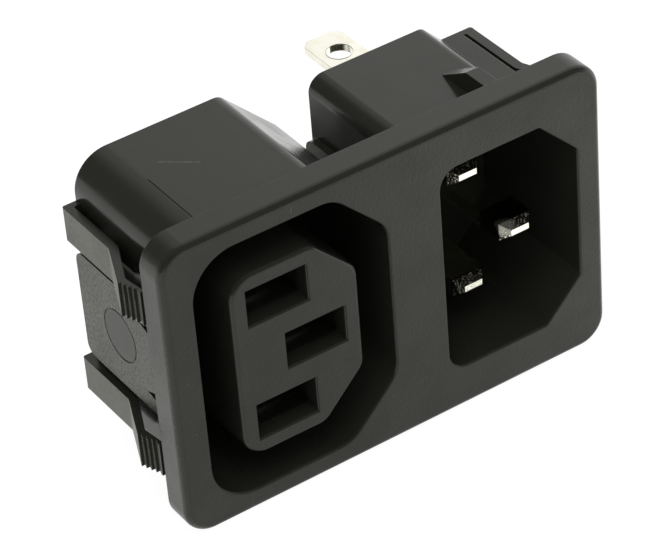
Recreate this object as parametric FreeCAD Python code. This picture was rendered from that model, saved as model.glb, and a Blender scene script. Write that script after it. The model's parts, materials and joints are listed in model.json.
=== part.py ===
import FreeCAD, Part
import math
import os

# Combined panel socket: a three-way outlet and a three-pin inlet side by side in one
# snap-in housing. Millimetres. +X is to the right seen from the front, +Y points through
# the panel to the rear and +Z is up. The origin is the middle of the face of the flange
# that seats on the panel, so the flange stands in front of it at negative Y.

# Flange
FLANGE_HALF_WIDTH = 26.1
FLANGE_HALF_HEIGHT = 17.5
FLANGE_THICKNESS = 3.5
FLANGE_CORNER_RADIUS = 3.2
FLANGE_EDGE_RADIUS = 0.75
MOUTH_EDGE_RADIUS = 0.3
FRONT = -FLANGE_THICKNESS

# Contact layout that both sockets share: line and neutral stand off the middle height,
# and the earth contact is set to the right of them
CONTACT_PITCH = 14.0
EARTH_OFFSET = 4.0
LINE_HEIGHT = CONTACT_PITCH / 2

# Outlet, on the left
OUTLET_LINE_X = -13.4
RECESS_LEFT = -22.63
RECESS_RIGHT = -0.28
RECESS_HALF_HEIGHT = 15.04
RECESS_CHAMFER = 6.0
RECESS_LEFT_RADIUS = 5.0
RECESS_RIGHT_RADIUS = 3.5
RECESS_FLOOR = 13.5
ISLAND_LEFT = -18.78
ISLAND_RIGHT = -4.08
ISLAND_HALF_HEIGHT = 11.0
ISLAND_CHAMFER = 5.0
ISLAND_LEFT_RADIUS = 2.8
ISLAND_RIGHT_RADIUS = 2.0
ISLAND_EDGE_RADIUS = 0.5
WINDOW_WIDTH = 6.95
WINDOW_HEIGHT = 4.2
WINDOW_DEPTH = 2.1
WINDOW_EDGE = 0.18
CHAMBER_WIDTH = 7.8
CHAMBER_HEIGHT = 5.4

# Inlet, on the right
INLET_LINE_X = 12.64
CAVITY_LEFT = 6.25
CAVITY_RIGHT = 23.03
CAVITY_HALF_HEIGHT = 12.4
CAVITY_CHAMFER = 4.6
CAVITY_LEFT_RADIUS = 2.2
CAVITY_RIGHT_RADIUS = 0.7
CAVITY_FLOOR = 13.0
MOULD_DRAFT = 0.1

# Rear blocks behind the flange
REAR = 17.5
REAR_EDGE_CHAMFER = 0.3
OUTLET_BLOCK_LEFT = -23.15
OUTLET_BLOCK_RIGHT = 0.82
OUTLET_BLOCK_HALF_HEIGHT = 16.25
OUTLET_BLOCK_CHAMFER = 6.7
OUTLET_BLOCK_LEFT_RADIUS = 4.0
OUTLET_BLOCK_RIGHT_RADIUS = 1.6
INLET_BLOCK_LEFT = 4.65
INLET_BLOCK_RIGHT = 23.82
INLET_BLOCK_HALF_HEIGHT = 13.8
INLET_BLOCK_LEFT_RADIUS = 1.9
INLET_BLOCK_RIGHT_RADIUS = 1.2
INLET_BLOCK_CHAMFER_START = 18.92
INLET_SHELF_HEIGHT = 11.4
INLET_SHELF_RADIUS = 0.3

# Flat pads on the left sides of the blocks
OUTLET_PAD_HALF_HEIGHT = 6.43
INLET_PAD_HALF_HEIGHT = 6.8
PAD_CORNER_RADIUS = 1.3
OUTLET_PAD_FACE = -24.38
OUTLET_PAD_REAR = 16.45
INLET_PAD_FACE = 3.85
INLET_PAD_REAR = 17.3
MARK_CENTRE_Y = 9.1
MARK_RADIUS = 3.0
MARK_WIDTH = 0.16
MARK_DEPTH = 0.12
# Relief notch near the flange, one above and one below: depth, and (y, z) corners
NOTCH_DEPTH = 0.5
NOTCH_CORNERS = ((2.5, 2.2), (2.8, 2.2), (3.0, 3.2), (3.3, 3.8), (4.8, 4.3), (3.2, 4.65), (2.5, 4.65))

# Latch arms: flat springs rooted at the rear, with stepped teeth that hold the panel
ARM_LOW = 7.4
ARM_HIGH = 11.4
LEFT_ARM_THICKNESS = 0.95
RIGHT_ARM_THICKNESS = 1.15
ARM_REAR = 17.2
ARM_ROOT_THICKNESS = 0.8
ARM_ROOT_RADIUS = 0.15
ARM_KINK_Y = 8.3
ARM_BEND_RADIUS = 1.0
LEFT_ARM_FACE = 24.8
RIGHT_ARM_FACE = 25.12
TOOTH_COUNT = 5
TOOTH_PITCH = 0.58
TOOTH_STEP = 0.22
TOOTH_RISER = 0.38
TOOTH_FIRST_OUT = 2.28
TOOTH_FIRST_Y = 2.9
TIP_FRONT_Y = 0.35
TIP_INNER_OUT = 1.25
TIP_INNER_REAR_Y = 3.2
TIP_FRONT_INNER_OUT = 0.88

# Ribs on top of and below the inlet block that fill the height of the cut-out
RIB_LEFT = 15.47
RIB_WIDTH = 1.65
RIB_FLAT_Y = 4.6
RIB_END_Y = 8.8

# Pins, contacts and their solder tabs
PIN_WIDTH = 4.0
PIN_HEIGHT = 2.0
PIN_SIDE_BEVEL = 0.9
PIN_FLAT_BEVEL = 0.65
PIN_BEVEL_LENGTH = 0.95
LINE_PIN_TIP = 1.0
EARTH_PIN_TIP = -2.0
TAB_WIDTH = 4.8
TAB_THICKNESS = 0.8
TAB_BEVEL = 0.8
TAB_HOLE_RADIUS = 1.4
INLET_TAB_HEIGHT = 10.1
INLET_TAB_REACH = 27.15
INLET_HOLE_FROM_END = 3.75
OUTLET_TAB_REACH = 25.5
OUTLET_HOLE_FROM_END = 2.9
SHOULDER_HALF_HEIGHT = 1.6
SPRING_THICKNESS = 0.4
SPRING_WIDTH = 4.8
SPRING_EAR_WIDTH = 8.6
SPRING_MOUTH_Y = 2.2
SPRING_PINCH_Y = 5.0
SPRING_PINCH_GAP = 1.5
SPRING_MOUTH_GAP = 3.2
SPRING_ROOT_GAP = 3.0
SPRING_BEND_RADIUS = 0.12

# Rear covers, let into the ends of the blocks
FLOOR_BACK = 15.5
COVER_LAND = 1.2
COVER_LEDGE = 1.1
COVER_CLEARANCE = 0.1
TAB_CLEARANCE = 0.15

# How far a cut starts outside the body it cuts, and the distance that counts as none
OVERRUN = 1.0
POINT_TOLERANCE = 1e-6


def in_front_view(a, b, depth):
    """Place an outline point that was drawn as seen from the front."""
    return FreeCAD.Vector(a, depth, b)


def in_plan_view(a, b, depth):
    """Place an outline point that was drawn as seen from above."""
    return FreeCAD.Vector(a, b, depth)


def in_side_view(a, b, depth):
    """Place an outline point that was drawn as seen from the side: a is Y and b is Z."""
    return FreeCAD.Vector(depth, a, b)


def rounded_wire(corners, view, depth):
    """Closed wire through corners (a, b, radius); a radius of zero leaves a sharp corner."""
    starts, ends, middles = [], [], []
    for index, (a, b, radius) in enumerate(corners):
        corner = FreeCAD.Vector(a, b, 0)
        back = FreeCAD.Vector(*corners[index - 1][:2], 0) - corner
        ahead = FreeCAD.Vector(*corners[(index + 1) % len(corners)][:2], 0) - corner
        back.normalize()
        ahead.normalize()
        half_angle = back.getAngle(ahead) / 2
        reach = radius / math.tan(half_angle)
        starts.append(corner + back * reach)
        ends.append(corner + ahead * reach)
        inward = back + ahead
        if radius:
            inward.normalize()
        middles.append(corner + inward * (radius / math.sin(half_angle) - radius))

    def placed(point):
        return view(point.x, point.y, depth)

    edges = []
    for index, (start, middle, end) in enumerate(zip(starts, middles, ends)):
        previous = ends[index - 1]
        if (start - previous).Length > POINT_TOLERANCE:
            edges.append(Part.LineSegment(placed(previous), placed(start)).toShape())
        if (end - start).Length > POINT_TOLERANCE:
            edges.append(Part.Arc(placed(start), placed(middle), placed(end)).toShape())
    return Part.Wire(Part.__sortEdges__(edges))


def prism(corners, view, low, high):
    """Solid between two parallel copies of an outline."""
    face = Part.Face(rounded_wire(corners, view, low))
    return face.extrude(view(0, 0, high) - view(0, 0, low))


def drafted_prism(wide_corners, narrow_corners, low, high):
    """Front-view solid whose outline closes in from low to high, as a mould core does."""
    wires = [
        rounded_wire(wide_corners, in_front_view, low),
        rounded_wire(narrow_corners, in_front_view, high),
    ]
    return Part.makeLoft(wires, True, True)


def box(x_range, y_range, z_range):
    """Plain block between the given limits."""
    sizes = [high - low for low, high in (x_range, y_range, z_range)]
    return Part.makeBox(*sizes, FreeCAD.Vector(x_range[0], y_range[0], z_range[0]))


def rectangle(centre_a, centre_b, width, height, radius=0):
    """Corners of a rectangle about a centre."""
    signs = ((-1, -1), (1, -1), (1, 1), (-1, 1))
    return [(centre_a + a * width / 2, centre_b + b * height / 2, radius) for a, b in signs]


def keyed_outline(left, right, half_height, chamfer, left_radius, right_radius, inset=0):
    """Corners of the socket outline: two rounded corners on the left, two cut on the right."""
    left, right, half_height = left + inset, right - inset, half_height - inset
    chamfer -= inset * (2 - math.sqrt(2))
    left_radius = max(left_radius - inset, 0)
    right_radius = max(right_radius - inset, 0)
    return [
        (left, -half_height, left_radius),
        (right - chamfer, -half_height, right_radius),
        (right, -half_height + chamfer, right_radius),
        (right, half_height - chamfer, right_radius),
        (right - chamfer, half_height, right_radius),
        (left, half_height, left_radius),
    ]


def inlet_block_outline(inset=0):
    """Corners of the inlet block: its right corners are cut, then stepped at the shelf."""
    left, right = INLET_BLOCK_LEFT + inset, INLET_BLOCK_RIGHT - inset
    top, shelf = INLET_BLOCK_HALF_HEIGHT - inset, INLET_SHELF_HEIGHT - inset
    start = INLET_BLOCK_CHAMFER_START - inset * (math.sqrt(2) - 1)
    foot = start + top - shelf
    upper = [
        (right, shelf, INLET_SHELF_RADIUS),
        (foot, shelf, 0),
        (start, top, max(INLET_BLOCK_RIGHT_RADIUS - inset, 0)),
        (left, top, max(INLET_BLOCK_LEFT_RADIUS - inset, 0)),
    ]
    return [(a, -b, r) for a, b, r in reversed(upper)] + upper


def outlet_block_outline(inset=0):
    """Corners of the outlet block."""
    return keyed_outline(
        OUTLET_BLOCK_LEFT, OUTLET_BLOCK_RIGHT, OUTLET_BLOCK_HALF_HEIGHT, OUTLET_BLOCK_CHAMFER,
        OUTLET_BLOCK_LEFT_RADIUS, OUTLET_BLOCK_RIGHT_RADIUS, inset)


def recess_outline(inset=0):
    """Corners of the ring-shaped recess of the outlet."""
    return keyed_outline(
        RECESS_LEFT, RECESS_RIGHT, RECESS_HALF_HEIGHT, RECESS_CHAMFER,
        RECESS_LEFT_RADIUS, RECESS_RIGHT_RADIUS, inset)


def island_outline(inset=0):
    """Corners of the island that holds the outlet's contacts."""
    return keyed_outline(
        ISLAND_LEFT, ISLAND_RIGHT, ISLAND_HALF_HEIGHT, ISLAND_CHAMFER,
        ISLAND_LEFT_RADIUS, ISLAND_RIGHT_RADIUS, inset)


def cavity_outline(inset=0):
    """Corners of the inlet's cavity."""
    return keyed_outline(
        CAVITY_LEFT, CAVITY_RIGHT, CAVITY_HALF_HEIGHT, CAVITY_CHAMFER,
        CAVITY_LEFT_RADIUS, CAVITY_RIGHT_RADIUS, inset)


def contact_places(line_x):
    """Name, x and z of the three contacts of a socket."""
    return [
        ("line", line_x, LINE_HEIGHT),
        ("neutral", line_x, -LINE_HEIGHT),
        ("earth", line_x + EARTH_OFFSET, 0.0),
    ]


def edges_at_depth(shape, depth, inside=None):
    """Edges that lie in a plane of constant Y, optionally only those inside an x range."""
    low, high = inside or (-math.inf, math.inf)
    found = []
    for edge in shape.Edges:
        limits = edge.BoundBox
        flat = abs(limits.YMin - depth) < 1e-4 and abs(limits.YMax - depth) < 1e-4
        if flat and limits.XMin > low and limits.XMax < high:
            found.append(edge)
    return found


def make_flange():
    """Front plate with rounded corners and a rounded front edge."""
    corners = rectangle(0, 0, 2 * FLANGE_HALF_WIDTH, 2 * FLANGE_HALF_HEIGHT, FLANGE_CORNER_RADIUS)
    plate = prism(corners, in_front_view, FRONT, 0)
    return plate.makeFillet(FLANGE_EDGE_RADIUS, edges_at_depth(plate, FRONT))


def make_rear_block(corners):
    """Block behind the flange, started inside it, with its rear edge chamfered."""
    block = prism(corners, in_front_view, FRONT / 2, REAR)
    return block.makeChamfer(REAR_EDGE_CHAMFER, edges_at_depth(block, REAR))


def make_side_pad(face, root, rear, half_height):
    """Flat raised pad on the left side of a block."""
    corners = [
        (FRONT / 2, -half_height, 0),
        (rear, -half_height, PAD_CORNER_RADIUS),
        (rear, half_height, PAD_CORNER_RADIUS),
        (FRONT / 2, half_height, 0),
    ]
    return prism(corners, in_side_view, face, root)


def make_pad_marks():
    """Cuts in the outlet's pad: a round mould mark and two relief notches."""
    centre = FreeCAD.Vector(OUTLET_PAD_FACE, MARK_CENTRE_Y, 0)
    along = FreeCAD.Vector(1, 0, 0)
    disc = Part.makeCylinder(MARK_RADIUS, MARK_DEPTH, centre, along)
    core = Part.makeCylinder(MARK_RADIUS - MARK_WIDTH, MARK_DEPTH, centre, along)
    marks = [disc.cut(core)]
    for side in (-1, 1):
        corners = [(y, side * z, 0) for y, z in NOTCH_CORNERS]
        low, high = OUTLET_PAD_FACE - OVERRUN, OUTLET_PAD_FACE + NOTCH_DEPTH
        marks.append(prism(corners, in_side_view, low, high))
    return marks


def latch_arm_corners(face, thickness, root):
    """Plan outline of a latch arm on the right: flat spring, outward ramp and stepped teeth."""
    inner = face - thickness
    corners = [
        (root, ARM_REAR, 0),
        (root, ARM_REAR - ARM_ROOT_THICKNESS, 0),
        (inner, ARM_REAR - ARM_ROOT_THICKNESS, ARM_ROOT_RADIUS),
        (inner, ARM_KINK_Y - thickness / 4, ARM_BEND_RADIUS),
        (face + TIP_INNER_OUT, TIP_INNER_REAR_Y, ARM_BEND_RADIUS / 2),
        (face + TIP_FRONT_INNER_OUT, TIP_FRONT_Y, 0),
    ]
    last_out = face + TOOTH_FIRST_OUT - TOOTH_STEP * (TOOTH_COUNT - 1)
    corners.append((last_out, TIP_FRONT_Y, 0))
    for step in reversed(range(TOOTH_COUNT)):
        crest = face + TOOTH_FIRST_OUT - TOOTH_STEP * step
        level = TOOTH_FIRST_Y - TOOTH_PITCH * step
        if step < TOOTH_COUNT - 1:
            corners.append((crest - TOOTH_RISER, level, 0))
        corners.append((crest, level, 0))
    corners.append((face, ARM_KINK_Y, ARM_BEND_RADIUS))
    corners.append((face, ARM_REAR, thickness / 4))
    return corners


def make_latch_arms():
    """Four latch arms, two on each side."""
    arms = []
    sides = (
        (-1, LEFT_ARM_FACE, LEFT_ARM_THICKNESS, -OUTLET_BLOCK_LEFT),
        (1, RIGHT_ARM_FACE, RIGHT_ARM_THICKNESS, INLET_BLOCK_RIGHT),
    )
    for side, face, thickness, block_side in sides:
        root = block_side - ARM_ROOT_THICKNESS / 2
        corners = [(side * a, b, r) for a, b, r in latch_arm_corners(face, thickness, root)]
        for low, high in ((ARM_LOW, ARM_HIGH), (-ARM_HIGH, -ARM_LOW)):
            arms.append(prism(corners, in_plan_view, low, high))
    return arms


def make_locating_ribs():
    """Ribs that bring the inlet block up to the height of the outlet block."""
    top = OUTLET_BLOCK_HALF_HEIGHT
    base = INLET_BLOCK_HALF_HEIGHT
    ribs = []
    for side in (-1, 1):
        corners = [
            (FRONT / 2, side * (base - OVERRUN), 0),
            (FRONT / 2, side * top, 0),
            (RIB_FLAT_Y, side * top, 0),
            (RIB_END_Y, side * base, 0),
            (RIB_END_Y, side * (base - OVERRUN / 2), 0),
        ]
        ribs.append(prism(corners, in_side_view, RIB_LEFT, RIB_LEFT + RIB_WIDTH))
    return ribs


def make_contact_chamber(x, z):
    """Window in the island's front wall and the wider chamber behind it."""
    back = FRONT + WINDOW_DEPTH
    window = prism(rectangle(x, z, WINDOW_WIDTH, WINDOW_HEIGHT), in_front_view, FRONT - OVERRUN, back)
    mouth_width, mouth_height = WINDOW_WIDTH + 2 * WINDOW_EDGE, WINDOW_HEIGHT + 2 * WINDOW_EDGE
    mouth = drafted_prism(
        rectangle(x, z, mouth_width, mouth_height), rectangle(x, z, WINDOW_WIDTH, WINDOW_HEIGHT),
        FRONT, FRONT + WINDOW_EDGE)
    chamber = prism(rectangle(x, z, CHAMBER_WIDTH, CHAMBER_HEIGHT), in_front_view, back, FLOOR_BACK)
    return [window, mouth, chamber]


def cover_seat(outline, ledge_y):
    """Cuts for a rear cover: a well for the contact shoulders and the rebate around it."""
    well = prism(outline(COVER_LAND + COVER_LEDGE), in_front_view, FLOOR_BACK, ledge_y)
    rebate = prism(outline(COVER_LAND), in_front_view, ledge_y, REAR + OVERRUN)
    return [well, rebate]


def make_housing():
    """One moulding: flange, both sockets, rear blocks, pads, latch arms and locating ribs."""
    solids = [make_rear_block(outlet_block_outline()), make_rear_block(inlet_block_outline())]
    solids.append(make_side_pad(
        OUTLET_PAD_FACE, OUTLET_BLOCK_LEFT + OVERRUN / 2, OUTLET_PAD_REAR, OUTLET_PAD_HALF_HEIGHT))
    solids.append(make_side_pad(
        INLET_PAD_FACE, INLET_BLOCK_LEFT + OVERRUN / 2, INLET_PAD_REAR, INLET_PAD_HALF_HEIGHT))
    solids += make_latch_arms() + make_locating_ribs()
    housing = make_flange().fuse(solids).removeSplitter()

    recess = drafted_prism(recess_outline(), recess_outline(MOULD_DRAFT), FRONT, RECESS_FLOOR)
    cavity = drafted_prism(cavity_outline(), cavity_outline(MOULD_DRAFT), FRONT, CAVITY_FLOOR)
    housing = housing.cut([recess, cavity])
    mouth_edges = edges_at_depth(housing, FRONT, (RECESS_LEFT - OVERRUN, CAVITY_RIGHT + OVERRUN))
    limit = RECESS_HALF_HEIGHT + MOULD_DRAFT
    mouth_edges = [edge for edge in mouth_edges if abs(edge.CenterOfMass.z) < limit]
    housing = housing.makeFillet(MOUTH_EDGE_RADIUS, mouth_edges)

    island = prism(island_outline(), in_front_view, FRONT, RECESS_FLOOR + OVERRUN)
    island = island.makeFillet(ISLAND_EDGE_RADIUS, edges_at_depth(island, FRONT))
    housing = housing.fuse(island)

    cuts = make_pad_marks()
    for _, x, z in contact_places(OUTLET_LINE_X):
        cuts += make_contact_chamber(x, z)
    for _, x, z in contact_places(INLET_LINE_X):
        corners = rectangle(x, z, PIN_WIDTH, PIN_HEIGHT)
        cuts.append(prism(corners, in_front_view, CAVITY_FLOOR - OVERRUN, FLOOR_BACK + OVERRUN))
    cuts += cover_seat(outlet_block_outline, FLOOR_BACK + SPRING_THICKNESS)
    cuts += cover_seat(inlet_block_outline, FLOOR_BACK + TAB_THICKNESS)
    return housing.cut(cuts).removeSplitter()


def make_rear_cover(outline, front, slots):
    """Plate that closes a block and holds the shoulders of its contacts down."""
    cover = prism(outline(COVER_LAND + COVER_CLEARANCE), in_front_view, front, REAR)
    width, height = TAB_WIDTH + 2 * TAB_CLEARANCE, TAB_THICKNESS + 2 * TAB_CLEARANCE
    holes = [
        prism(rectangle(x, z, width, height), in_front_view, front - OVERRUN, REAR + OVERRUN)
        for x, z in slots
    ]
    return cover.cut(holes)


def make_solder_tab(x, z, start, reach, hole_from_end):
    """Flat tab with cut corners and a round hole for the wire."""
    half = TAB_WIDTH / 2
    corners = [
        (x - half, start, 0),
        (x + half, start, 0),
        (x + half, reach - TAB_BEVEL, 0),
        (x + half - TAB_BEVEL, reach, 0),
        (x - half + TAB_BEVEL, reach, 0),
        (x - half, reach - TAB_BEVEL, 0),
    ]
    tab = prism(corners, in_plan_view, z - TAB_THICKNESS / 2, z + TAB_THICKNESS / 2)
    foot = FreeCAD.Vector(x, reach - hole_from_end, z - TAB_THICKNESS)
    return tab.cut(Part.makeCylinder(TAB_HOLE_RADIUS, 2 * TAB_THICKNESS, foot))


def make_inlet_pin(x, z, tip_y, tab_z):
    """Bevelled flat pin, the shoulder behind the floor and the solder tab, in one piece."""
    tip = drafted_prism(
        rectangle(x, z, PIN_WIDTH - 2 * PIN_SIDE_BEVEL, PIN_HEIGHT - 2 * PIN_FLAT_BEVEL),
        rectangle(x, z, PIN_WIDTH, PIN_HEIGHT), tip_y, tip_y + PIN_BEVEL_LENGTH)
    blade = prism(rectangle(x, z, PIN_WIDTH, PIN_HEIGHT), in_front_view,
                  tip_y + PIN_BEVEL_LENGTH, FLOOR_BACK)
    low = min(z - SHOULDER_HALF_HEIGHT, tab_z - TAB_THICKNESS / 2)
    high = max(z + SHOULDER_HALF_HEIGHT, tab_z + TAB_THICKNESS / 2)
    shoulder = box((x - TAB_WIDTH / 2, x + TAB_WIDTH / 2), (FLOOR_BACK, FLOOR_BACK + TAB_THICKNESS),
                   (low, high))
    tab = make_solder_tab(x, tab_z, FLOOR_BACK, INLET_TAB_REACH, INLET_HOLE_FROM_END)
    return tip.fuse([blade, shoulder, tab]).removeSplitter()


def bent_strip_corners(path, thickness, bend_radius):
    """Outline corners of a strip whose middle line follows a path of points."""
    left_side, right_side = [], []
    for index, (a, b) in enumerate(path):
        point = FreeCAD.Vector(a, b, 0)
        back = FreeCAD.Vector(*path[max(index - 1, 0)], 0)
        ahead = FreeCAD.Vector(*path[min(index + 1, len(path) - 1)], 0)
        before = (point - back) if index else (ahead - point)
        after = (ahead - point) if index < len(path) - 1 else before
        before, after = before.normalize(), after.normalize()
        mean = (before + after).normalize()
        across = FreeCAD.Vector(-mean.y, mean.x, 0) * (thickness / 2 / mean.dot(after))
        turn = before.cross(after).z
        inner, outer = bend_radius, bend_radius + thickness
        radii = (0, 0) if abs(turn) < 1e-6 else ((inner, outer) if turn > 0 else (outer, inner))
        left_side.append((point.x + across.x, point.y + across.y, radii[0]))
        right_side.append((point.x - across.x, point.y - across.y, radii[1]))
    return right_side + left_side[::-1]


def make_outlet_contact(x, z):
    """Folded spring contact: two leaves that grip a pin, ears on the floor, double tab."""
    half = SPRING_THICKNESS / 2
    web_y = FLOOR_BACK + half
    leaves = []
    for side in (-1, 1):
        path = [
            (SPRING_MOUTH_Y, z + side * SPRING_MOUTH_GAP / 2),
            (SPRING_PINCH_Y, z + side * (SPRING_PINCH_GAP / 2 + half)),
            (web_y, z + side * SPRING_ROOT_GAP / 2),
            (web_y, z + side * half),
            (REAR, z + side * half),
        ]
        corners = bent_strip_corners(path, SPRING_THICKNESS, SPRING_BEND_RADIUS)
        leaves.append(prism(corners, in_side_view, x - SPRING_WIDTH / 2, x + SPRING_WIDTH / 2))
    ears = box((x - SPRING_EAR_WIDTH / 2, x + SPRING_EAR_WIDTH / 2),
               (FLOOR_BACK, FLOOR_BACK + SPRING_THICKNESS),
               (z - SPRING_ROOT_GAP / 2, z + SPRING_ROOT_GAP / 2))
    tab = make_solder_tab(x, z, FLOOR_BACK, OUTLET_TAB_REACH, OUTLET_HOLE_FROM_END)
    return leaves[0].fuse([leaves[1], ears, tab]).removeSplitter()


def export(shape, name):
    """Write one node as a STEP file."""
    solids = shape.Solids
    if len(solids) != 1 or not shape.isValid():
        raise ValueError(f"{name}: {len(solids)} solids, valid {shape.isValid()}")
    solids[0].exportStep(f"parts/{name}.step")


def main():
    os.makedirs("parts", exist_ok=True)
    export(make_housing(), "housing")

    outlet_slots = []
    for name, x, z in contact_places(OUTLET_LINE_X):
        export(make_outlet_contact(x, z), f"outlet_{name}_contact")
        outlet_slots.append((x, z))

    inlet_slots = []
    for name, x, z in contact_places(INLET_LINE_X):
        tip = EARTH_PIN_TIP if name == "earth" else LINE_PIN_TIP
        tab_z = math.copysign(INLET_TAB_HEIGHT, z) if z else 0.0
        export(make_inlet_pin(x, z, tip, tab_z), f"inlet_{name}_pin")
        inlet_slots.append((x, tab_z))

    outlet_cover = make_rear_cover(outlet_block_outline, FLOOR_BACK + SPRING_THICKNESS, outlet_slots)
    export(outlet_cover, "outlet_rear_cover")
    inlet_cover = make_rear_cover(inlet_block_outline, FLOOR_BACK + TAB_THICKNESS, inlet_slots)
    export(inlet_cover, "inlet_rear_cover")


main()
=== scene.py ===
"""Looks of a combined inlet and outlet panel socket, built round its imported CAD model.

Lengths in the dataclasses are in millimetres, in the part's own frame: +X to the right seen from
the front, +Y through the panel to the rear, +Z up, origin in the middle of the flange's rear face.
"""

import json
import logging
from dataclasses import dataclass, field
from enum import Enum

import bpy
from mathutils import Matrix, Vector


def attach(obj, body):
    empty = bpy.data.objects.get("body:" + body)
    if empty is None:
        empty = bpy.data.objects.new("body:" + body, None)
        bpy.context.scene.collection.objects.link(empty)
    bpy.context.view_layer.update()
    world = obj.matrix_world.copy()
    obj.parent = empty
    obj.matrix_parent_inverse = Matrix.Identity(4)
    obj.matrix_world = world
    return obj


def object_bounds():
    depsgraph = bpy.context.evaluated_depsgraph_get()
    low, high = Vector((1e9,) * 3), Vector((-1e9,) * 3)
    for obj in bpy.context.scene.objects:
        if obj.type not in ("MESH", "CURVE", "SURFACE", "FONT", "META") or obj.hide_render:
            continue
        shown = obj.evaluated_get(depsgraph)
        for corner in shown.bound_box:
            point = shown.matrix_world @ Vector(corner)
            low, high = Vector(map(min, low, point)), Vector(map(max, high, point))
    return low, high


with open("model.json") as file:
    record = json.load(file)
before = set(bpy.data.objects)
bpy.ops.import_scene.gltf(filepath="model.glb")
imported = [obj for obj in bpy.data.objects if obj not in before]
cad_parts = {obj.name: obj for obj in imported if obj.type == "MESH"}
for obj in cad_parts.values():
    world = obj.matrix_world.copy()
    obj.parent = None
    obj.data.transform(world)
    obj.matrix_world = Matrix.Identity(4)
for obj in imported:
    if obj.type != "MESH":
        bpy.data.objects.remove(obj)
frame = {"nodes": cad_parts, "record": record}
CAD_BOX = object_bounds()

LOG = logging.getLogger("panel_socket")
MM = 0.001
BODY = "root"
WIRE_HOLE = "_tab_hole"
BEVEL_SAMPLES = 6

Colour = tuple[float, float, float]
Point = tuple[float, float, float]


class Slot(Enum):
    """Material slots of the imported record."""

    HOUSING = "housing_plastic"
    COVER = "cover_plastic"
    PIN = "pin_plating"
    SPRING = "contact_spring_plating"


class Socket(Enum):
    """The two sockets of the module, as the names of their nodes and mounts begin."""

    OUTLET = "outlet"
    INLET = "inlet"


class Axis(Enum):
    """Axis of the part."""

    X = 0
    Y = 1
    Z = 2


@dataclass(frozen=True)
class Ramp:
    """Smooth step from one range of values to another, held at both ends."""

    low: float
    high: float
    to_low: float = 0.0
    to_high: float = 1.0


@dataclass(frozen=True)
class Noise:
    """Settings of a noise: grains to the millimetre, octaves and weight of the finer octaves."""

    per_mm: float
    octaves: float
    roughness: float = 0.5


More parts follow.
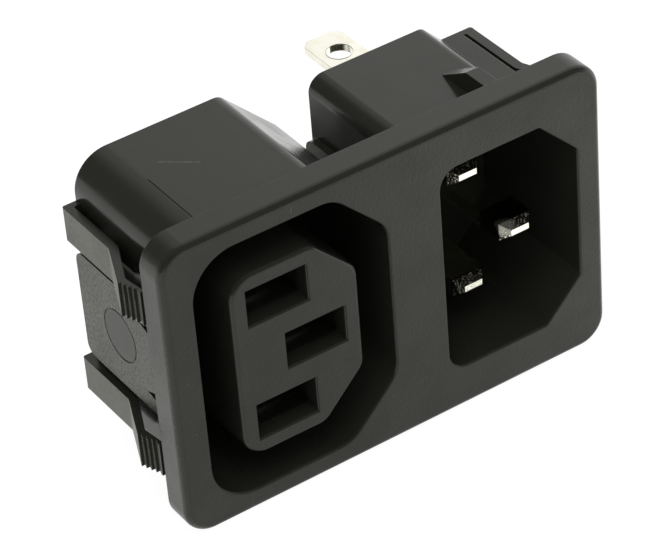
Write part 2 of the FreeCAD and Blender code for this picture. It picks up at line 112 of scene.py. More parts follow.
class TreeNet:
    """Adds and links the nodes of one tree."""

    def __init__(self, tree: bpy.types.NodeTree) -> None:
        """Work on a tree.

        Args:
            tree: the node tree.
        """
        self.tree = tree

    def add(self, kind: str, **settings: object) -> bpy.types.Node:
        """Add a node.

        Args:
            kind: node type.
            settings: properties to set on the node.

        Returns:
            The new node.
        """
        node = self.tree.nodes.new(kind)
        for name, value in settings.items():
            setattr(node, name, value)
        return node

    def feed(self, socket: bpy.types.NodeSocket, value: object) -> None:
        """Link a socket to another, or set it to a plain value.

        Args:
            socket: input to feed.
            value: an output socket, a number or a sequence.
        """
        if isinstance(value, bpy.types.NodeSocket):
            self.tree.links.new(value, socket)
        else:
            socket.default_value = value

    def math(
        self, operation: str, a: object, b: object = 0.0, clamp: bool = False
    ) -> bpy.types.NodeSocket:
        """Add a Math node.

        Args:
            operation: name of the operation.
            a: first input.
            b: second input.
            clamp: keep the result between 0 and 1.

        Returns:
            The node's result.
        """
        node = self.add("ShaderNodeMath", operation=operation, use_clamp=clamp)
        self.feed(node.inputs[0], a)
        self.feed(node.inputs[1], b)
        return node.outputs[0]

    def vector_math(self, operation: str, a: object, b: object) -> bpy.types.Node:
        """Add a Vector Math node.

        Args:
            operation: name of the operation.
            a: first vector.
            b: second vector.

        Returns:
            The node.
        """
        node = self.add("ShaderNodeVectorMath", operation=operation)
        self.feed(node.inputs[0], a)
        self.feed(node.inputs[1], b)
        return node

    def split(self, vector: object) -> tuple[bpy.types.NodeSocket, ...]:
        """Part a vector into its X, Y and Z.

        Args:
            vector: the vector.

        Returns:
            The three parts.
        """
        node = self.add("ShaderNodeSeparateXYZ")
        self.feed(node.inputs[0], vector)
        return tuple(node.outputs)

    def scale(self, vector: object, factor: object) -> bpy.types.NodeSocket:
        """Multiply a vector by a number.

        Args:
            vector: the vector.
            factor: the number.

        Returns:
            The longer or shorter vector.
        """
        node = self.add("ShaderNodeVectorMath", operation="SCALE")
        self.feed(node.inputs[0], vector)
        self.feed(node.inputs["Scale"], factor)
        return node.outputs["Vector"]

    def noise(self, vector: object, settings: Noise) -> bpy.types.NodeSocket:
        """Noise on millimetre coordinates.

        Args:
            vector: coordinates.
            settings: settings of the noise.

        Returns:
            The noise, from 0 to 1.
        """
        node = self.add("ShaderNodeTexNoise", noise_dimensions="3D")
        self.feed(node.inputs["Vector"], vector)
        node.inputs["Scale"].default_value = settings.per_mm
        node.inputs["Detail"].default_value = settings.octaves
        node.inputs["Roughness"].default_value = settings.roughness
        return node.outputs["Fac"]

    def rescale(self, value: object, ramp: Ramp) -> bpy.types.NodeSocket:
        """Take a value from one range to another.

        Args:
            value: input.
            ramp: the two ranges.

        Returns:
            The rescaled value.
        """
        node = self.add("ShaderNodeMapRange", interpolation_type="SMOOTHSTEP")
        self.feed(node.inputs["Value"], value)
        node.inputs["From Min"].default_value = ramp.low
        node.inputs["From Max"].default_value = ramp.high
        node.inputs["To Min"].default_value = ramp.to_low
        node.inputs["To Max"].default_value = ramp.to_high
        return node.outputs["Result"]

    def between(self, share: object, start: float, end: float) -> bpy.types.NodeSocket:
        """Value that runs evenly from start to end as a share runs from 0 to 1.

        Args:
            share: the share.
            start: result at 0.
            end: result at 1.

        Returns:
            The value.
        """
        node = self.add("ShaderNodeMath", operation="MULTIPLY_ADD")
        self.feed(node.inputs[0], share)
        self.feed(node.inputs[1], end - start)
        self.feed(node.inputs[2], start)
        return node.outputs[0]

    def blend(self, factor: object, a: object, b: object) -> bpy.types.NodeSocket:
        """Mix two colours.

        Args:
            factor: share of the second colour.
            a: first colour.
            b: second colour.

        Returns:
            The mixed colour.
        """
        node = self.add("ShaderNodeMix", data_type="RGBA")
        self.feed(node.inputs["Factor"], factor)
        for socket, value in zip([s for s in node.inputs if s.type == "RGBA"], (a, b)):
            self.feed(socket, value if isinstance(value, bpy.types.NodeSocket) else (*value, 1.0))
        return next(s for s in node.outputs if s.type == "RGBA")


class ShaderNet(TreeNet):
    """Adds and links the nodes of one material."""

    def __init__(self, name: str) -> None:
        """Start an empty material.

        Args:
            name: name of the material.
        """
        self.material = bpy.data.materials.new(name)
        self.material.use_nodes = True
        super().__init__(self.material.node_tree)
        self.tree.nodes.clear()
        self._place: bpy.types.NodeSocket | None = None

    def place_in_mm(self) -> bpy.types.NodeSocket:
        """Object coordinates, in millimetres."""
        if self._place is None:
            self._place = self.scale(self.add("ShaderNodeTexCoord").outputs["Object"], 1 / MM)
        return self._place

    def facing(self) -> bpy.types.NodeSocket:
        """Direction that the surface faces, in the part's own frame."""
        return self.add("ShaderNodeTexCoord").outputs["Normal"]

    def stretch(self, factors: Point) -> bpy.types.NodeSocket:
        """Millimetre coordinates multiplied by a factor on each axis.

        Args:
            factors: factor on X, Y and Z.

        Returns:
            The stretched coordinates.
        """
        return self.vector_math("MULTIPLY", self.place_in_mm(), factors).outputs["Vector"]

    def bump(self, height: object, distance_mm: float, normal: object = None) -> bpy.types.NodeSocket:
        """Bump from a height.

        Args:
            height: height, from 0 to 1.
            distance_mm: depth of the relief.
            normal: normal to start from.

        Returns:
            The bumped normal.
        """
        node = self.add("ShaderNodeBump")
        node.inputs["Strength"].default_value = 1.0
        node.inputs["Distance"].default_value = distance_mm * MM
        self.feed(node.inputs["Height"], height)
        if normal is not None:
            self.feed(node.inputs["Normal"], normal)
        return node.outputs["Normal"]

    def soft_edge(self, radius_mm: float) -> bpy.types.NodeSocket:
        """Normal that turns smoothly round each sharp edge.

        Args:
            radius_mm: radius of the rounding.

        Returns:
            The rounded normal.
        """
        node = self.add("ShaderNodeBevel", samples=BEVEL_SAMPLES)
        node.inputs["Radius"].default_value = radius_mm * MM
        return node.outputs["Normal"]

    def finish(self, shader: bpy.types.Node) -> bpy.types.Material:
        """Link the shader to the output.

        Args:
            shader: node with the final shader.

        Returns:
            The finished material.
        """
        output = self.add("ShaderNodeOutputMaterial")
        self.tree.links.new(shader.outputs[0], output.inputs["Surface"])
        return self.material


@dataclass(frozen=True)
class Scuff:
    """Fine scratch or speck on the plastic, or a crease drawn as painted shade: a line between two
    points.
    """

    start: Point
    end: Point
    width: float = 0.05
    strength: float = 0.6


@dataclass(frozen=True)
class FaceMasks:
    """Masks of the housing's faces that have a finish of their own or painted light on them."""

    front: bpy.types.NodeSocket
    raised: bpy.types.NodeSocket
    arms: bpy.types.NodeSocket
    ramps: bpy.types.NodeSocket


@dataclass(frozen=True)
class MouldedPlastic:
    """Black thermoplastic from a spark-eroded mould."""

    name: str

    colour: Colour = (0.0145, 0.0147, 0.0118)
    pale_colour: Colour = (0.0215, 0.0217, 0.0178)
    # Pale mottle of the spark finish, and painted light: it lifts the outward side faces to the
    # brightness their lighting gives.
    grain_and_lit_side_colour: Colour = (0.2, 0.205, 0.172)
    # Painted highlight on the arms' ramp faces, which catch the light at a grazing angle.
    ramp_highlight_colour: Colour = (0.2, 0.2, 0.165)
    scuff_colour: Colour = (0.16, 0.16, 0.15)
    # Painted shade along the moulded step line, standing in for the step's own shade.
    crease_shade_colour: Colour = (0.002, 0.002, 0.002)
    specular_level: float = 0.38
    specular_tint: Colour = (1.0, 1.0, 0.93)

    grain: Noise = Noise(3.6, 3.0, 0.6)
    flow: Noise = Noise(0.6, 3.0, 0.55)
    flow_stretch: Point = (0.5, 0.16, 0.5)
    palest_from_grain: float = 0.45
    darkest: float = 0.1
    flow_in_colour: float = 0.4
    flow_in_relief: float = 0.3
    smooth_grain: float = 0.06
    grain_depth: float = 0.06
    edge_radius: float = 0.1

    smooth_roughness: float = 0.21
    satin_roughness: float = 0.45
    cloud: Noise = Noise(0.22, 4.0, 0.6)
    cloud_in_roughness: Ramp = Ramp(0.3, 0.7, -0.04, 0.05)

    grained_front: Ramp = Ramp(-3.46, -3.4, 1.0, 0.0)
    flange_beyond_x: float = 25.0
    raised_beyond_x: float = 23.9
    inner_pad_x: tuple[float, float] = (3.7, 4.2)
    raised_from_y: Ramp = Ramp(2.9, 3.5)
    outward: Ramp = Ramp(0.7, 0.9)
    ramp_slope: float = 0.2
    arms_beyond_z: float = 7.35
    # Shares of the painted side light and grain on pads, flange edges and arms.
    pad_share: float = 0.6
    edge_share: float = 0.16
    ramp_highlight_share: float = 0.7
    arm_share: float = 0.56
    arm_evenness: float = 0.75
    mottle: Noise = Noise(3.4, 3.0, 0.7)
    mottle_share: Ramp = Ramp(0.36, 0.64, 0.05, 0.87)

    mark_centre: Point = (-24.38, 9.1, 0.0)
    mark_edge: Ramp = Ramp(2.7, 3.0, 0.05, 1.0)

    dust_per_mm: float = 1.1
    dust_rarity: Ramp = Ramp(0.86, 0.9)
    dust_size: Ramp = Ramp(0.02, 0.055, 0.5, 0.0)
    breaks: Noise = Noise(3.0, 2.0)
    break_share: Ramp = Ramp(0.35, 0.6, 0.3, 1.0)
    scuffs: tuple[Scuff, ...] = ()
    creases: tuple[Scuff, ...] = ()

    def find_faces(self, net: ShaderNet) -> FaceMasks:
        """Tell the grained faces with their painted side light, and the ramps with their painted
        highlight, from the others.

        Args:
            net: material to add to.

        Returns:
            Masks of the front face, of the pads, arms and flange edges at the sides, of the arms'
            height, and of the arms' ramps, which rub along the edge of the panel and get a painted
            highlight.
        """
        across, depth, height = net.split(net.place_in_mm())
        facing_x, facing_y, _ = net.split(net.facing())
        front = net.rescale(depth, self.grained_front)
        from_middle = net.math("ABSOLUTE", across)
        outward = net.rescale(net.math("MULTIPLY", facing_x, net.math("SIGN", across)), self.outward)
        far_out = net.math("GREATER_THAN", from_middle, self.raised_beyond_x)
        sides = net.math("MULTIPLY", outward, far_out)

        low, high = self.inner_pad_x
        inner = net.math("LESS_THAN", facing_x, 0.0)
        inner = net.math("MULTIPLY", inner, net.math("GREATER_THAN", across, low))
        inner = net.math("MULTIPLY", inner, net.math("LESS_THAN", across, high))
        behind = net.rescale(depth, self.raised_from_y)
        raised = net.math("MULTIPLY", net.math("MAXIMUM", sides, inner), behind)
        arms = net.math("GREATER_THAN", net.math("ABSOLUTE", height), self.arms_beyond_z)
        raised = net.math("MULTIPLY", raised, net.between(arms, self.pad_share, 1.0))
        from_mark = net.vector_math("DISTANCE", net.place_in_mm(), self.mark_centre).outputs["Value"]
        raised = net.math("MULTIPLY", raised, net.rescale(from_mark, self.mark_edge))

        edge = net.math("MULTIPLY", outward, net.math("GREATER_THAN", from_middle, self.flange_beyond_x))
        edge = net.math("MULTIPLY", edge, net.math("LESS_THAN", depth, 0.0))
        raised = net.math("MAXIMUM", raised, net.math("MULTIPLY", edge, self.edge_share))
        ramps = net.math("MULTIPLY", sides, net.math("GREATER_THAN", facing_y, self.ramp_slope))
        return FaceMasks(front, raised, arms, ramps)

    def spots(self, net: ShaderNet, masks: FaceMasks) -> bpy.types.NodeSocket:
        """Share of the pale spots: the spark finish's mottle together with painted light on the outward
        faces, nearly even on the arms.

        Args:
            net: material to add to.
            masks: masks of the faces.

        Returns:
            The share, from 0 to 1.
        """
        share = net.rescale(net.noise(net.place_in_mm(), self.mottle), self.mottle_share)
        to_even = net.math("SUBTRACT", self.arm_share, share)
        evened = net.math("MULTIPLY", to_even, net.math("MULTIPLY", masks.arms, self.arm_evenness))
        return net.math("MULTIPLY", masks.raised, net.math("ADD", share, evened))

    def line_mask(self, net: ShaderNet, line: Scuff) -> bpy.types.NodeSocket:
        """Mask of one scuff or crease, by distance from its line.

        Args:
            net: material to add to.
            line: the scuff or crease.

        Returns:
            The mask, from 0 to the line's strength.
        """
        run = Vector(line.end) - Vector(line.start)
        from_start = net.vector_math("SUBTRACT", net.place_in_mm(), line.start).outputs["Vector"]
        dot = net.vector_math("DOT_PRODUCT", from_start, tuple(run)).outputs["Value"]
        share = net.math("DIVIDE", dot, run.length_squared, clamp=True)
        along = net.scale(tuple(run), share)
        away = net.vector_math("DISTANCE", from_start, along).outputs["Value"]
        return net.rescale(away, Ramp(0.0, line.width, line.strength, 0.0))

    def wear(self, net: ShaderNet) -> bpy.types.NodeSocket:
        """Mask of the dust and the scuffs.

        Args:
            net: material to add to.

        Returns:
            The mask, from 0 to 1.
        """
        cells = net.add("ShaderNodeTexVoronoi", feature="F1")
        net.feed(cells.inputs["Vector"], net.place_in_mm())
        cells.inputs["Scale"].default_value = self.dust_per_mm
        cells.inputs["Randomness"].default_value = 1.0
        rare = net.rescale(cells.outputs["Color"], self.dust_rarity)
        mask = net.math("MULTIPLY", net.rescale(cells.outputs["Distance"], self.dust_size), rare)
        for scuff in self.scuffs:
            mask = net.math("MAXIMUM", mask, self.line_mask(net, scuff))
        broken = net.rescale(net.noise(net.place_in_mm(), self.breaks), self.break_share)
        return net.math("MULTIPLY", mask, broken, clamp=True)

    def make(self) -> bpy.types.Material:
        """Build the material.

        Returns:
            The finished material.
        """
        net = ShaderNet(self.name)
        masks = self.find_faces(net)
        satin = net.math("MAXIMUM", masks.front, masks.raised)
        grain = net.noise(net.place_in_mm(), self.grain)
        flow = net.noise(net.stretch(self.flow_stretch), self.flow)
        crease_shade = 0.0
        for crease in self.creases:
            crease_shade = net.math("MAXIMUM", crease_shade, self.line_mask(net, crease))

        tone = net.between(grain, self.darkest, self.palest_from_grain)
        tone = net.math("ADD", tone, net.math("MULTIPLY", flow, self.flow_in_colour), clamp=True)
        colour = net.blend(tone, self.colour, self.pale_colour)
        # Painted light and grain: pale mottled colour on the outward side faces, pads, arms and flange
        # edges.
        colour = net.blend(self.spots(net, masks), colour, self.grain_and_lit_side_colour)
        # Painted highlight on the arms' ramps.
        ramp_highlight = net.math("MULTIPLY", masks.ramps, self.ramp_highlight_share)
        colour = net.blend(ramp_highlight, colour, self.ramp_highlight_colour)
        colour = net.blend(self.wear(net), colour, self.scuff_colour)
        # Painted shade of the moulded step line.
        colour = net.blend(crease_shade, colour, self.crease_shade_colour)

        roughness = net.between(satin, self.smooth_roughness, self.satin_roughness)
        cloud = net.noise(net.place_in_mm(), self.cloud)
        roughness = net.math("ADD", roughness, net.rescale(cloud, self.cloud_in_roughness))
        roughness = net.math("ADD", roughness, crease_shade, clamp=True)

        relief = net.math("MULTIPLY", grain, net.between(satin, self.smooth_grain, 1.0))
        relief = net.math("ADD", relief, net.math("MULTIPLY", flow, self.flow_in_relief))
        normal = net.bump(relief, self.grain_depth, net.soft_edge(self.edge_radius))

        shader = net.add("ShaderNodeBsdfPrincipled")
        net.feed(shader.inputs["Base Color"], colour)
        net.feed(shader.inputs["Roughness"], roughness)
        shader.inputs["Specular IOR Level"].default_value = self.specular_level
        shader.inputs["Specular Tint"].default_value = (*self.specular_tint, 1.0)
        net.feed(shader.inputs["Normal"], normal)
        return net.finish(shader)


@dataclass(frozen=True)
class PlatedMetal:
    """Plated strip metal with fine rolling lines, duller patches and pitted bevels at the tips."""

    name: str
    colour: Colour = (0.95, 0.935, 0.82)
    dull_colour: Colour = (0.91, 0.88, 0.74)
    pit_colour: Colour = (0.025, 0.024, 0.018)
    roughness: float = 0.12
    dull_roughness: float = 0.18
    edge_radius: float = 0.08

    lines_along: Axis = Axis.Y
    line_stretch: float = 0.04
    lines: Noise = Noise(14.0, 3.0, 0.65)
    line_depth: float = 0.003
    line_roughness: Ramp = Ramp(0.35, 0.65, -0.04, 0.05)
    patches: Noise = Noise(0.9, 4.0, 0.6)
    dull_share: Ramp = Ramp(0.42, 0.66)

    tip_ends_at: float = 2.1
    end_face_from: float = 0.95
    pits: Noise = Noise(5.0, 3.0, 0.6)
    pit_depth: float = 0.05
    pit_share: Ramp = Ramp(0.5, 0.66, 1.0, 0.0)

    worn_centre: Point = (15.1, -1.45, 0.8)
    worn_reach: Ramp = Ramp(0.6, 1.6, 1.0, 0.0)
    worn_roughness: float = 0.42
    worn_pits: Ramp = Ramp(0.0, 1.0, 1.0, 0.5)

    def make(self) -> bpy.types.Material:
        """Build the material.

        Returns:
            The finished material.
        """
        net = ShaderNet(self.name)
        place = net.place_in_mm()
        factors = [1.0, 1.0, 1.0]
        factors[self.lines_along.value] = self.line_stretch
        lines = net.noise(net.stretch(tuple(factors)), self.lines)
        dull = net.rescale(net.noise(place, self.patches), self.dull_share)

        pits = net.noise(place, self.pits)
        tip = net.math("LESS_THAN", net.split(place)[Axis.Y.value], self.tip_ends_at)
        forward = net.math("ABSOLUTE", net.split(net.facing())[Axis.Y.value])
        bevel = net.math("MULTIPLY", net.math("LESS_THAN", forward, self.end_face_from), tip)
        from_worn = net.vector_math("DISTANCE", place, self.worn_centre).outputs["Value"]
        worn = net.math("MULTIPLY", net.rescale(from_worn, self.worn_reach), bevel)
        specks = net.math("MULTIPLY", net.rescale(pits, self.pit_share), bevel)
        specks = net.math("MULTIPLY", specks, net.rescale(worn, self.worn_pits))

        roughness = net.between(dull, self.roughness, self.dull_roughness)
        roughness = net.math("ADD", roughness, net.math("MULTIPLY", worn, self.worn_roughness))
        roughness = net.math("ADD", roughness, net.rescale(lines, self.line_roughness))
        lined = net.bump(lines, self.line_depth, net.soft_edge(self.edge_radius))
        pitted = net.bump(net.math("MULTIPLY", pits, tip), self.pit_depth, lined)

        shader = net.add("ShaderNodeBsdfPrincipled")
        plating = net.blend(dull, self.colour, self.dull_colour)
        net.feed(shader.inputs["Base Color"], net.blend(specks, plating, self.pit_colour))
        shader.inputs["Metallic"].default_value = 1.0
        net.feed(shader.inputs["Roughness"], roughness)
        net.feed(shader.inputs["Normal"], pitted)
        return net.finish(shader)


class PatternTree(TreeNet):
    """Geometry Nodes tree that repeats a shape, with named inputs for its sizes."""

    def __init__(self, name: str) -> None:
        """Start an empty tree with a geometry in and out.

        Args:
            name: name of the tree.
        """
        super().__init__(bpy.data.node_groups.new(name, "GeometryNodeTree"))
        self.identifiers: dict[str, str] = {}
        face = self.tree.interface
        face.new_socket("Seed", in_out="INPUT", socket_type="NodeSocketGeometry")
        face.new_socket("Pieces", in_out="OUTPUT", socket_type="NodeSocketGeometry")
        self.entry = self.add("NodeGroupInput")
        self.exit = self.add("NodeGroupOutput")

    def size(self, name: str, kind: str = "NodeSocketFloat") -> bpy.types.NodeSocket:
        """Add a named input.

        Args:
            name: what the input sets.
            kind: socket type.

        Returns:
            The socket that carries the input's value.
        """
        item = self.tree.interface.new_socket(name, in_out="INPUT", socket_type=kind)
        self.identifiers[name] = item.identifier
        return next(s for s in self.entry.outputs if s.identifier == item.identifier)

    def repeat(
        self, points: bpy.types.NodeSocket, shape: bpy.types.NodeSocket
    ) -> bpy.types.NodeSocket:
        """Put a shape on each point.

        Args:
            points: geometry whose points carry the shape.
            shape: the shape.

        Returns:
            The instances.
        """
        node = self.add("GeometryNodeInstanceOnPoints")
        self.feed(node.inputs["Points"], points)
        self.feed(node.inputs["Instance"], shape)
        return node.outputs["Instances"]

    def close(self, pieces: bpy.types.NodeSocket, finish: bpy.types.NodeSocket) -> None:
        """End the tree: smooth shading, real meshes and the finish.

        Args:
            pieces: instances to realize.
            finish: socket with the material.
        """
        real = self.add("GeometryNodeRealizeInstances")
        self.feed(real.inputs["Geometry"], pieces)
        smooth = self.add("GeometryNodeSetShadeSmooth")
        self.feed(smooth.inputs["Geometry"], real.outputs["Geometry"])
        dressed = self.add("GeometryNodeSetMaterial")
        self.feed(dressed.inputs["Geometry"], smooth.outputs["Geometry"])
        self.feed(dressed.inputs["Material"], finish)
        self.feed(self.exit.inputs["Pieces"], dressed.outputs["Geometry"])

    def bake(
        self, name: str, values: dict[str, object], slot: Slot, points: tuple[Point, ...] = ()
    ) -> None:
        """Turn the tree's result into one plain piece on the body.

        Args:
            name: name of the piece.
            values: value of each named input.
            slot: the record's material slot that the piece's finish stands for; not used.
            points: points to repeat on, in millimetres, where the tree takes them.
        """
        seed = bpy.data.meshes.new(f"{name}_seed")
        seed.from_pydata([tuple(Vector(point) * MM) for point in points], [], [])
        holder = bpy.data.objects.new(f"{name}_seed", seed)
        bpy.context.scene.collection.objects.link(holder)
        modifier = holder.modifiers.new("pattern", "NODES")
        modifier.node_group = self.tree
        for label, value in values.items():
            modifier[self.identifiers[label]] = value
        graph = bpy.context.evaluated_depsgraph_get()
        mesh = bpy.data.meshes.new_from_object(holder.evaluated_get(graph), depsgraph=graph)
        holder.modifiers.remove(modifier)
        bpy.data.objects.remove(holder)
        mesh.name = name
        piece = bpy.data.objects.new(name, mesh)
        bpy.context.scene.collection.objects.link(piece)
        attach(piece, BODY)
        LOG.info("made %s with %d faces", name, len(mesh.polygons))


def dress(node_name: str, material: bpy.types.Material) -> None:
    """Give a CAD node its finish.

    Args:
        node_name: name of the CAD node.
        material: finish to put in every material slot of the node.
    """
    piece = frame["nodes"][node_name]
    if not piece.material_slots:
        piece.data.materials.append(material)
    for slot in piece.material_slots:
        slot.material = material
    LOG.info("dressed %s in %s", node_name, material.name)


@dataclass
class HousingMoulding:
    """The one-piece black housing: flange, sockets, rear blocks, pads, arms and ribs."""

    finish: MouldedPlastic = field(default_factory=lambda: MouldedPlastic(
        name="housing_satin_black",
        scuffs=(
            Scuff((-16.66, 11.4, 16.25), (-13.49, 8.75, 16.25), 0.07, 0.9),
            Scuff((-6.63, 4.98, 16.25), (-6.3, 4.8, 16.25), 0.1, 0.4),
            Scuff((13.5, 13.9, 13.8), (13.55, 13.8, 13.8), 0.1, 0.8),
            Scuff((-5.97, -3.5, 17.38), (-5.9, -3.5, 17.36), 0.12, 0.6),
            Scuff((-8.64, -3.5, 17.2), (-8.6, -3.5, 17.18), 0.1, 0.5),
            Scuff((-11.0, -3.5, 16.54), (-11.07, -3.5, 15.75), 0.07, 0.5),
            Scuff((-24.28, -3.5, 1.71), (-24.26, -3.5, 1.5), 0.12, 0.5),
            Scuff((-0.95, -3.5, -11.82), (-0.9, -3.5, -11.9), 0.1, 0.5),
            Scuff((-18.42, -3.5, -15.15), (-18.59, -3.5, -16.9), 0.06, 0.4),
            Scuff((-24.06, -3.5, -4.78), (-24.0, -3.5, -4.8), 0.1, 0.5),
        ),
        # Moulded step line on the outlet block's top, drawn as a line of painted shade.
        creases=(
            Scuff((-18.98, 17.2, 16.25), (-18.98, 9.5, 16.25), 0.1, 0.25),
            Scuff((-18.98, 9.5, 16.25), (-18.98, 0.2, 16.25), 0.12, 0.9),
        ),
    ))

    def build(self) -> None:
        """Dress the moulding."""
        material = self.finish.make()
        dress("housing", material)
        LatchCrests().build(material)


@dataclass
class LatchCrests:
    """Rounded lips along the crests of the teeth on the four latch arms, which reach furthest out."""

    count: int = 5
    first_y: float = 2.9
    step_out: float = 0.22
    step_y: float = 0.58
    arm_middle: float = 9.4
    length: float = 3.9
    radius: float = 0.06
    proud: float = 0.025
    sides: int = 12

    @staticmethod
    def make_tree() -> PatternTree:
        """Tree that lays a row of rods along a line of crests, on a line of arms.

        Returns:
            The tree.
        """
        tree = PatternTree("latch_crests")
        lines = []
        for label in ("Crest", "Arm"):
            line = tree.add("GeometryNodeMeshLine", mode="OFFSET")
            tree.feed(line.inputs["Count"], tree.size(f"{label} count", "NodeSocketInt"))
            tree.feed(line.inputs["Start Location"], tree.size(f"First {label}", "NodeSocketVector"))
            tree.feed(line.inputs["Offset"], tree.size(f"{label} step", "NodeSocketVector"))
            lines.append(line.outputs["Mesh"])
        rod = tree.add("GeometryNodeMeshCylinder", fill_type="NGON")
        tree.feed(rod.inputs["Vertices"], tree.size("Rod sides", "NodeSocketInt"))
        tree.feed(rod.inputs["Radius"], tree.size("Rod radius"))
        tree.feed(rod.inputs["Depth"], tree.size("Rod length"))
        row = tree.repeat(lines[0], rod.outputs["Mesh"])
        tree.close(tree.repeat(lines[1], row), tree.size("Finish", "NodeSocketMaterial"))
        return tree

    def build(self, material: bpy.types.Material) -> None:
        """Make the crests of both sides.

        Args:
            material: the housing's finish.
        """
        tree = self.make_tree()
        for name, side, corner in (("latch_crests_left", -1, 0), ("latch_crests_right", 1, 1)):
            crest_x = CAD_BOX[corner].x / MM
            first = Vector((crest_x - side * self.radius, self.first_y + self.radius - self.proud, 0.0))
            values = {
                "Crest count": self.count,
                "First Crest": tuple(first * MM),
                "Crest step": (-side * self.step_out * MM, -self.step_y * MM, 0.0),
                "Arm count": 2,
                "First Arm": (0.0, 0.0, -self.arm_middle * MM),
                "Arm step": (0.0, 0.0, 2 * self.arm_middle * MM),
                "Rod sides": self.sides,
                "Rod radius": self.radius * MM,
                "Rod length": self.length * MM,
                "Finish": material,
            }
            tree.bake(name, values, Slot.HOUSING)


@dataclass
class TabHoleRims:
    """Slight burr that the punch leaves round the wire hole of each solder tab, on both faces."""

    socket: Socket
    slot: Slot
    burr_radius: float = 0.045
    around: int = 40
    across: int = 8

    @staticmethod
    def make_tree() -> PatternTree:
        """Tree that puts a ring on each point.

        Returns:
            The tree.
        """
        tree = PatternTree("tab_hole_rims")
        circles = []
        for label in ("Ring", "Burr"):
            circle = tree.add("GeometryNodeCurvePrimitiveCircle", mode="RADIUS")
            tree.feed(circle.inputs["Resolution"], tree.size(f"{label} sides", "NodeSocketInt"))
            tree.feed(circle.inputs["Radius"], tree.size(f"{label} radius"))
            circles.append(circle.outputs["Curve"])
        ring = tree.add("GeometryNodeCurveToMesh")
        tree.feed(ring.inputs["Curve"], circles[0])
        tree.feed(ring.inputs["Profile Curve"], circles[1])
        rings = tree.repeat(tree.entry.outputs["Seed"], ring.outputs["Mesh"])
        tree.close(rings, tree.size("Finish", "NodeSocketMaterial"))
        return tree

    def build(self, material: bpy.types.Material) -> None:
        """Make the rims.

        Args:
            material: finish of the tabs.
        """
        holes = [
            mount for mount in frame["record"]["mounts"]
            if mount["name"].startswith(self.socket.value) and mount["name"].endswith(WIRE_HOLE)]
        size = holes[0]["dims"]
        points = []
        for hole in holes:
            x, y, z = (metres / MM for metres in hole["pos_m"])
            points += [(x, y, z - size["length_mm"] / 2), (x, y, z + size["length_mm"] / 2)]
        values = {
            "Ring sides": self.around,
            "Ring radius": (size["r_mm"] + self.burr_radius) * MM,
            "Burr sides": self.across,
            "Burr radius": self.burr_radius * MM,
            "Finish": material,
        }
        self.make_tree().bake(f"{self.socket.value}_tab_rims", values, self.slot, tuple(points))


@dataclass
class RearCovers:
    """Plates that close the rear blocks, grained all over."""

    finish: MouldedPlastic = field(default_factory=lambda: MouldedPlastic(
        name="cover_satin_black", grained_front=Ramp(29.94, 30.0, 1.0, 0.0)))
    nodes: tuple[str, ...] = ("outlet_rear_cover", "inlet_rear_cover")

    def build(self) -> None:
        """Dress both covers."""
        material = self.finish.make()
        for node in self.nodes:
            dress(node, material)


@dataclass
class InletPins:
    """Three bevelled pins, each in one piece with its solder tab."""

    finish: PlatedMetal = field(default_factory=lambda: PlatedMetal(name="pin_bright_nickel"))
    nodes: tuple[str, ...] = ("inlet_line_pin", "inlet_neutral_pin", "inlet_earth_pin")

    def build(self) -> None:
        """Dress the pins."""
        material = self.finish.make()
        for node in self.nodes:
            dress(node, material)
        TabHoleRims(Socket.INLET, Slot.PIN).build(material)


@dataclass
class OutletContacts:
    """Three folded spring contacts behind the windows of the outlet."""

    finish: PlatedMetal = field(default_factory=lambda: PlatedMetal(
        name="spring_tin_plate", colour=(0.80, 0.79, 0.75), dull_colour=(0.70, 0.68, 0.62),
        roughness=0.28, dull_roughness=0.42))
    nodes: tuple[str, ...] = ("outlet_line_contact", "outlet_neutral_contact", "outlet_earth_contact")

    def build(self) -> None:
        """Dress the contacts."""
        material = self.finish.make()
        for node in self.nodes:
            dress(node, material)
        TabHoleRims(Socket.OUTLET, Slot.SPRING).build(material)


@dataclass(frozen=True)
class SoftLamp:
    """Large square area lamp aimed at the part."""

    name: str
    place: Point
    size: float
    watts: float


@dataclass(frozen=True)
class FloorShade:
    """Round patch of the floor that is darker in reflections, like the room behind a small sweep."""

    centre: Point
    kept: Ramp


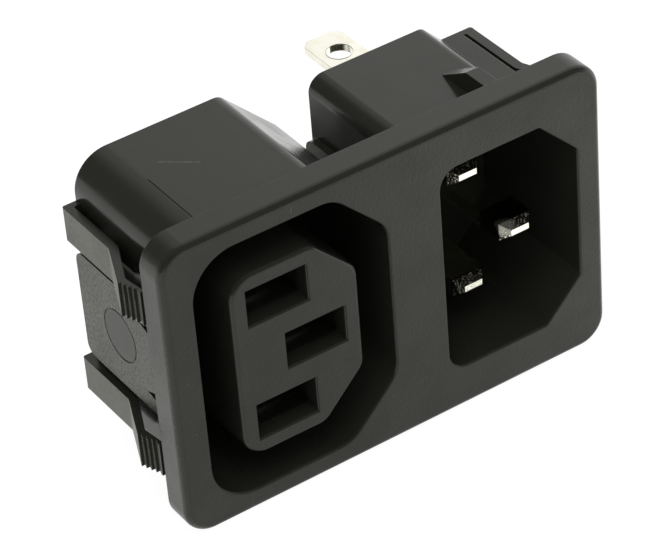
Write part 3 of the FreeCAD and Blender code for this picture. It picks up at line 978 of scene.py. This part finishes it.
@dataclass
class Studio:
    """Floor, lamps, world and camera."""

    floor_half_width: float = 3000.0
    floor_gap: float = 0.01
    floor_colour: Colour = (0.82, 0.82, 0.82)
    floor_glow: float = 1.12
    glow_seen: float = 0.84
    glow_mirrored: float = 0.6
    # Painted light in reflections: the floor's glow grows to the right and fades to the rear.
    reflected_glow_to_right: Ramp = Ramp(-5.0, 45.0, 0.1, 0.75)
    reflected_glow_to_rear: Ramp = Ramp(0.0, 25.0, 1.0, 0.4)
    shades: tuple[FloorShade, ...] = (
        FloorShade((-10.0, 40.0, 0.0), Ramp(11.0, 19.0)),
        FloorShade((-38.0, 30.0, 0.0), Ramp(4.0, 14.0, 0.7, 1.0)),
    )
    shade_colour: Colour = (0.12, 0.12, 0.12)
    lamps: tuple[SoftLamp, ...] = (
        SoftLamp("overhead", (-120.0, -160.0, 540.0), 360.0, 1.1),
    )
    world_level: float = 0.72
    mirrored_level: Ramp = Ramp(0.3, 0.5, 0.62, 1.14)
    far_left_share: Ramp = Ramp(-0.3, 0.2, 0.22, 1.0)
    dark_in_front: Ramp = Ramp(-0.3, 0.2, 1.0, 0.0)
    dark_above: Ramp = Ramp(0.0, 0.3)
    dark_level: Ramp = Ramp(0.0, 1.0, 1.0, 0.17)
    camera_place: Point = (-146.078, -229.730, 206.385)
    camera_rotation: tuple[Point, Point, Point] = (
        (0.822472, 0.385544, -0.418206),
        (-0.564858, 0.467136, -0.680235),
        (-0.066902, 0.795701, 0.601984),
    )
    lens: float = 184.76
    sensor_width: float = 36.0
    clip: tuple[float, float] = (0.01, 50.0)

    def build_floor(self) -> None:
        """Pale floor that reads as white to the camera and keeps a soft shadow, with painted light and
        shade in its reflections.
        """
        low = CAD_BOX[0].z - self.floor_gap * MM
        half = self.floor_half_width * MM
        mesh = bpy.data.meshes.new("floor")
        corners = [(-half, -half, low), (half, -half, low), (half, half, low), (-half, half, low)]
        mesh.from_pydata(corners, [], [(0, 1, 2, 3)])
        floor = bpy.data.objects.new("floor", mesh)
        bpy.context.scene.collection.objects.link(floor)

        net = ShaderNet("floor_white")
        path = net.add("ShaderNodeLightPath")
        mirrored = path.outputs["Is Glossy Ray"]
        on_floor = net.vector_math("MULTIPLY", net.place_in_mm(), (1.0, 1.0, 0.0)).outputs["Vector"]
        clear = 1.0
        for shade in self.shades:
            away = net.vector_math("DISTANCE", on_floor, shade.centre).outputs["Value"]
            clear = net.math("MULTIPLY", clear, net.rescale(away, shade.kept))
        shaded = net.math("MULTIPLY", net.math("SUBTRACT", 1.0, clear), mirrored)
        matt = net.add("ShaderNodeBsdfDiffuse")
        net.feed(matt.inputs["Color"], net.blend(shaded, self.floor_colour, self.shade_colour))
        glow = net.add("ShaderNodeEmission")
        seen = net.math("MAXIMUM", path.outputs["Is Camera Ray"], path.outputs["Is Transmission Ray"])
        # Painted light: the floor glows brighter to the right and in front of the part, seen only in
        # reflections.
        across, depth, _ = net.split(net.place_in_mm())
        gain = net.rescale(across, self.reflected_glow_to_right)
        gain = net.math("MULTIPLY", gain, net.rescale(depth, self.reflected_glow_to_rear))
        gain = net.math("ADD", net.math("MULTIPLY", gain, mirrored), 1.0)
        net.feed(glow.inputs["Strength"], net.math("MULTIPLY", gain, self.floor_glow))
        share = net.math("MULTIPLY", net.math("MULTIPLY", mirrored, clear), self.glow_mirrored)
        share = net.math("ADD", share, net.math("MULTIPLY", seen, self.glow_seen))
        mix = net.add("ShaderNodeMixShader")
        net.feed(mix.inputs[0], share)
        net.feed(mix.inputs[1], matt.outputs[0])
        net.feed(mix.inputs[2], glow.outputs[0])
        mesh.materials.append(net.finish(mix))

    def build_world(self) -> None:
        """White sweep all round that darkens in reflections above and in front of the part."""
        world = bpy.data.worlds.new("white_sweep")
        bpy.context.scene.world = world
        world.use_nodes = True
        net = TreeNet(world.node_tree)
        rightward, rearward, upward = net.split(net.add("ShaderNodeTexCoord").outputs["Object"])
        in_front = net.rescale(rearward, self.dark_in_front)
        dark = net.math("MULTIPLY", in_front, net.rescale(upward, self.dark_above))
        bright = net.rescale(rightward, self.mirrored_level)
        bright = net.math("MULTIPLY", bright, net.rescale(rightward, self.far_left_share))
        mirrored = net.math("MULTIPLY", bright, net.rescale(dark, self.dark_level))
        path = net.add("ShaderNodeLightPath")
        either = net.math("MAXIMUM", path.outputs["Is Camera Ray"], path.outputs["Is Transmission Ray"])
        glossy = net.math("MULTIPLY", path.outputs["Is Glossy Ray"], mirrored)
        level = net.math("MAXIMUM", either, glossy)
        lit = net.math("MULTIPLY", path.outputs["Is Diffuse Ray"], self.world_level)
        background = world.node_tree.nodes["Background"]
        net.feed(background.inputs["Strength"], net.math("MAXIMUM", level, lit))
        background.inputs["Color"].default_value = (1.0, 1.0, 1.0, 1.0)

    def build_lamps(self) -> None:
        """Soft lamps, each aimed at the middle of the part."""
        middle = (CAD_BOX[0] + CAD_BOX[1]) / 2
        for lamp in self.lamps:
            light = bpy.data.lights.new(lamp.name, "AREA")
            light.shape = "SQUARE"
            light.size = lamp.size * MM
            light.energy = lamp.watts
            holder = bpy.data.objects.new(lamp.name, light)
            bpy.context.scene.collection.objects.link(holder)
            holder.location = Vector(lamp.place) * MM
            holder.rotation_euler = (middle - holder.location).to_track_quat("-Z", "Y").to_euler()
            holder.visible_glossy = False

    def build_camera(self) -> None:
        """Camera at the measured place."""
        data = bpy.data.cameras.new("camera")
        data.lens = self.lens
        data.sensor_width = self.sensor_width
        data.sensor_fit = "HORIZONTAL"
        data.clip_start, data.clip_end = self.clip
        camera = bpy.data.objects.new("camera", data)
        bpy.context.scene.collection.objects.link(camera)
        turn = Matrix(self.camera_rotation).to_4x4()
        camera.matrix_world = Matrix.Translation(Vector(self.camera_place) * MM) @ turn
        bpy.context.scene.camera = camera

    def build(self) -> None:
        """Set up the studio."""
        self.build_floor()
        self.build_world()
        self.build_lamps()
        self.build_camera()
        bpy.context.scene.view_settings.view_transform = "Standard"
        LOG.info("studio ready with %d lamps", len(self.lamps))


def main() -> None:
    """Build and dress every sub-assembly in order."""
    logging.basicConfig(level=logging.INFO, format="%(message)s")
    for part in (HousingMoulding(), RearCovers(), InletPins(), OutletContacts(), Studio()):
        LOG.info("building %s", type(part).__name__)
        part.build()


if __name__ == "__main__":
    main()
